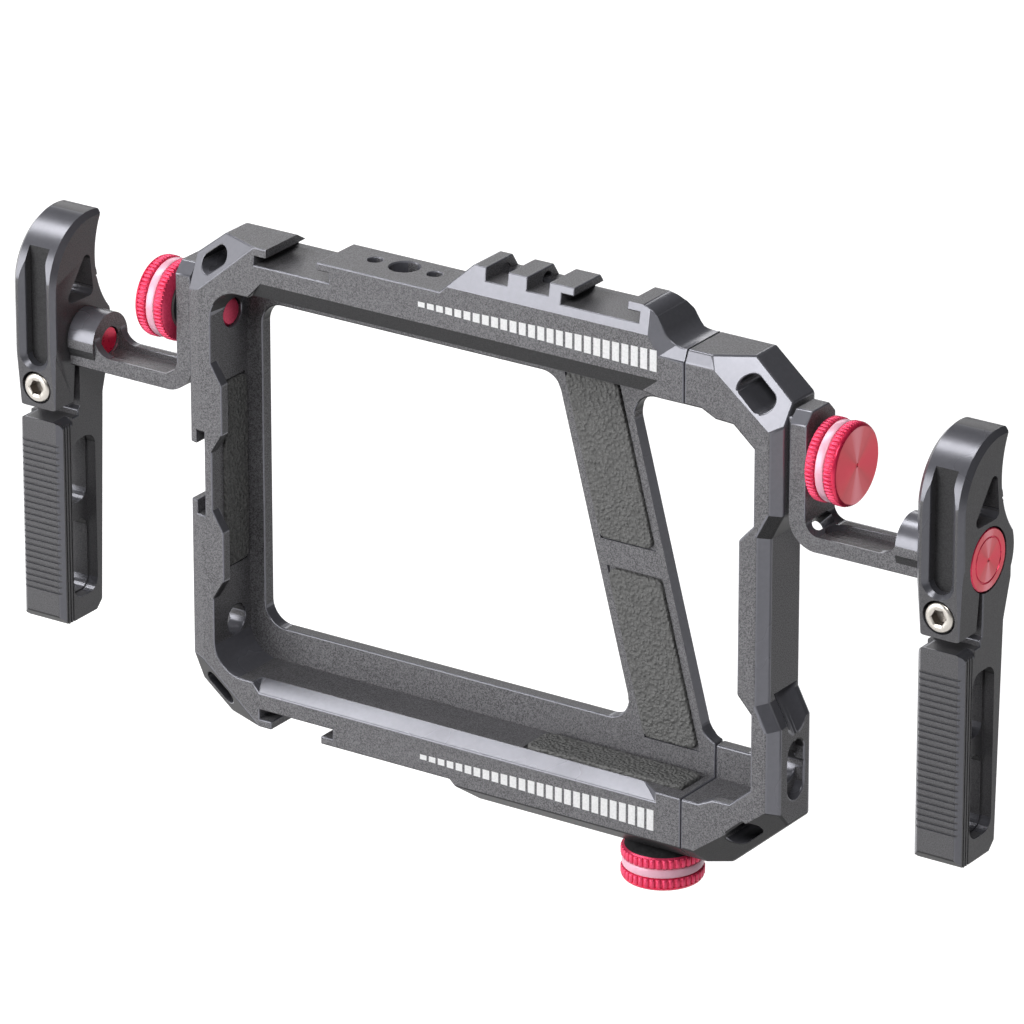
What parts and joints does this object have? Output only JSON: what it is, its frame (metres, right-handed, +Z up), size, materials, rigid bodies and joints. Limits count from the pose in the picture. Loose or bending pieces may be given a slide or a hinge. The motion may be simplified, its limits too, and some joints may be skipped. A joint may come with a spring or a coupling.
{
  "type": "phone cage",
  "caption": "Metal phone cage with a sliding end, accessory shoes, a toothed rail, padded back bar, red thumb screws and two tilting side handles on brackets.",
  "frame": {"origin": "mouth of the tripod socket in the underside of the lower rail", "axes": "+X along the cage towards the sliding end, +Y towards the back, +Z up"},
  "size_m": [0.2333, 0.0203, 0.1274],
  "materials": {
    "cage_grey": "bead-blasted dark grey anodised aluminium",
    "handle_grey": "satin dark grey anodised aluminium",
    "red_anodised": "bright red anodised aluminium, knurled rims",
    "steel": "ground steel",
    "nickel": "bright nickel plated steel",
    "pad": "crinkled dark olive grey rubber",
    "washer": "black nylon",
    "brass": "turned brass"
  },
  "bodies": {
    "frame": {"main_frame": "cage_grey", "left_bracket": "cage_grey", "left_dowels": "steel", "left_pivot_pin": "red_anodised", "left_wall_pad": "pad", "upper_bar_pad": "pad", "lower_bar_pad": "pad", "floor_pad": "pad", "ceiling_pad": "pad"},
    "end": {"slide_end": "cage_grey", "upper_guide_rod": "steel", "lower_guide_bar": "steel", "guide_screws": "steel", "right_bracket": "cage_grey", "right_dowels": "steel", "right_pivot_pin": "red_anodised", "right_wall_pad": "pad"},
    "lock_foot": {"lock_pad": "brass"},
    "lock_screw": {"lock_knob": "red_anodised"},
    "left_seat": {"left_washer": "washer"},
    "left_screw": {"left_knob": "red_anodised"},
    "right_seat": {"right_washer": "washer"},
    "right_screw": {"right_knob": "red_anodised"},
    "left_grip": {"left_handle": "handle_grey", "left_clamp_bolt": "nickel"},
    "right_grip": {"right_handle": "handle_grey", "right_clamp_bolt": "nickel"}
  },
  "joints": [
    {"name": "end_slide", "type": "slide", "parent": "frame", "child": "end", "axis": [1, 0, 0], "range_m": [0, 0.034]},
    {"name": "lock_press", "type": "slide", "parent": "frame", "child": "lock_foot", "axis": [0, 0, -1], "range_m": [0, 0.00096]},
    {"name": "lock_turn", "type": "hinge", "parent": "lock_foot", "child": "lock_screw", "pos_m": [0.0632, 0, -0.0086], "axis": [0, 0, -1], "range_deg": [0, 270]},
    {"name": "left_knob_press", "type": "slide", "parent": "frame", "child": "left_seat", "axis": [-1, 0, 0], "range_m": [0, 0.00096]},
    {"name": "left_knob_turn", "type": "hinge", "parent": "left_seat", "child": "left_screw", "pos_m": [-0.0582, 0, 0.0884], "axis": [-1, 0, 0], "range_deg": [0, 270]},
    {"name": "right_knob_press", "type": "slide", "parent": "end", "child": "right_seat", "axis": [1, 0, 0], "range_m": [0, 0.00096]},
    {"name": "right_knob_turn", "type": "hinge", "parent": "right_seat", "child": "right_screw", "pos_m": [0.1031, 0, 0.0884], "axis": [1, 0, 0], "range_deg": [0, 270]},
    {"name": "left_handle_tilt", "type": "hinge", "parent": "frame", "child": "left_grip", "pos_m": [-0.08875, 0, 0.0752], "axis": [1, 0, 0], "continuous": true},
    {"name": "right_handle_tilt", "type": "hinge", "parent": "end", "child": "right_grip", "pos_m": [0.13365, 0, 0.0752], "axis": [1, 0, 0], "continuous": true}
  ],
  "couplings": [
    {"joint": "lock_press", "follows": "lock_turn", "m_per_rad": 0.00020213},
    {"joint": "left_knob_press", "follows": "left_knob_turn", "m_per_rad": 0.00020213},
    {"joint": "right_knob_press", "follows": "right_knob_turn", "m_per_rad": 0.00020213}
  ]
}
